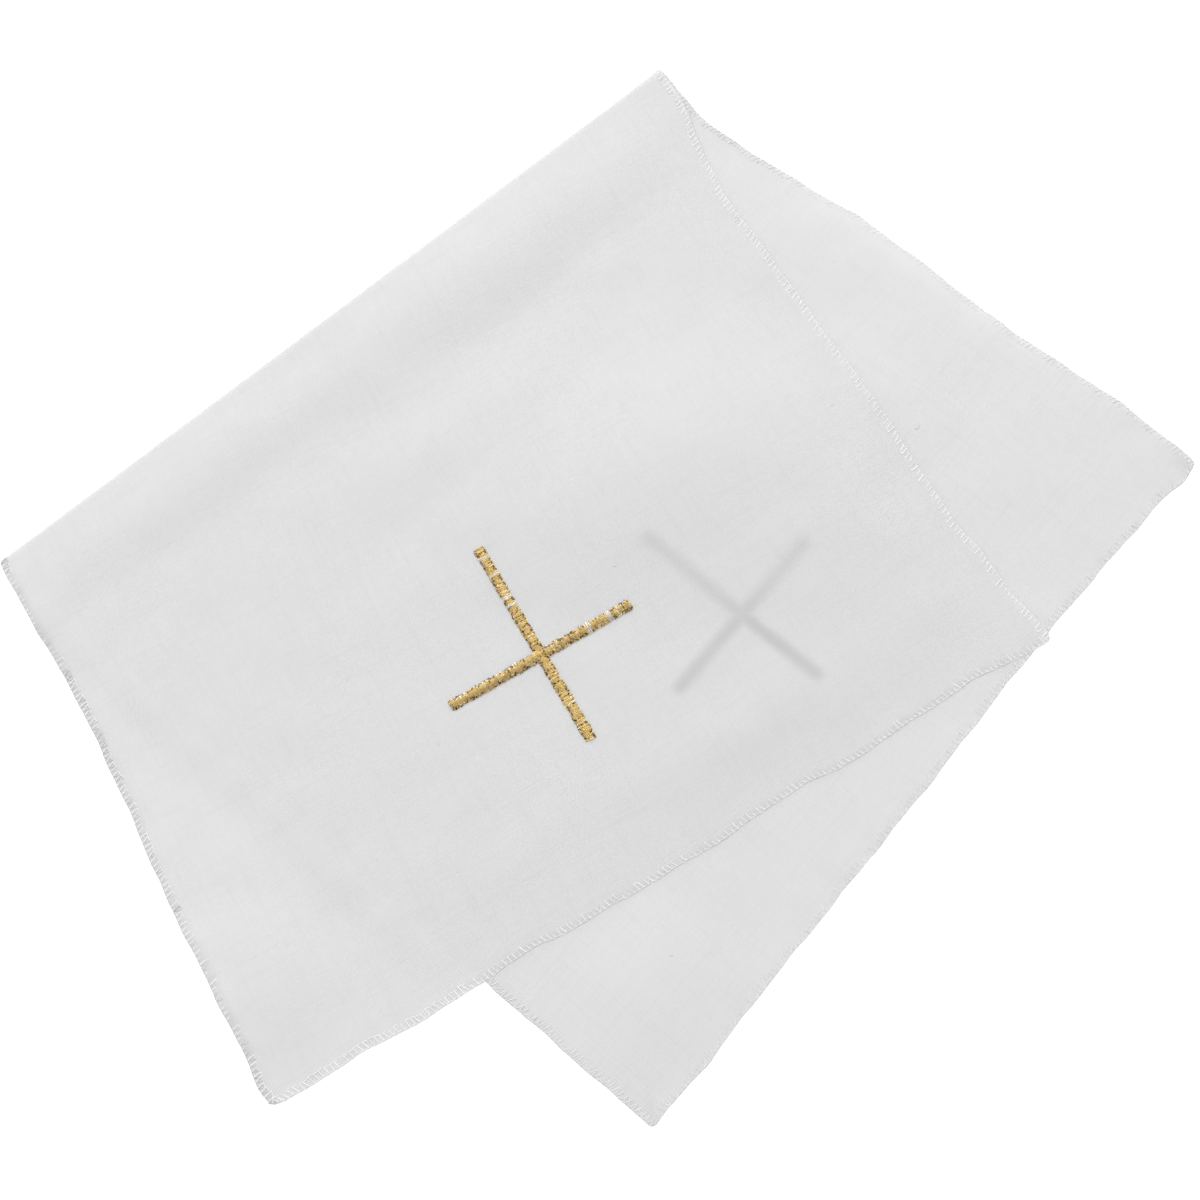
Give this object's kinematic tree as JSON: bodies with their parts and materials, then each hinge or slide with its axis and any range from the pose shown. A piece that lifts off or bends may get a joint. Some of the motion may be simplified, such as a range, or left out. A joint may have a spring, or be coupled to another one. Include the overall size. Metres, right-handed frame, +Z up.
{
  "type": "folded corporal altar cloth",
  "caption": "White altar cloth with overlocked edges, folded once along a slanted line, with a gold cross near each end, lying flat.",
  "frame": {"origin": "middle of the footprint, on the surface the cloth lies on", "axes": "+Z up, +X along the upper layer's end hem towards its right corner, +Y from that hem towards the fold"},
  "size_m": [0.383, 0.331, 0.0048],
  "materials": {
    "linen": "plain weave, matt",
    "gold_thread": "satin stitch in metallic gold thread"
  },
  "bodies": {
    "root": {"cloth": "linen", "cross_top": "gold_thread", "cross_under": "gold_thread"}
  },
  "joints": []
}
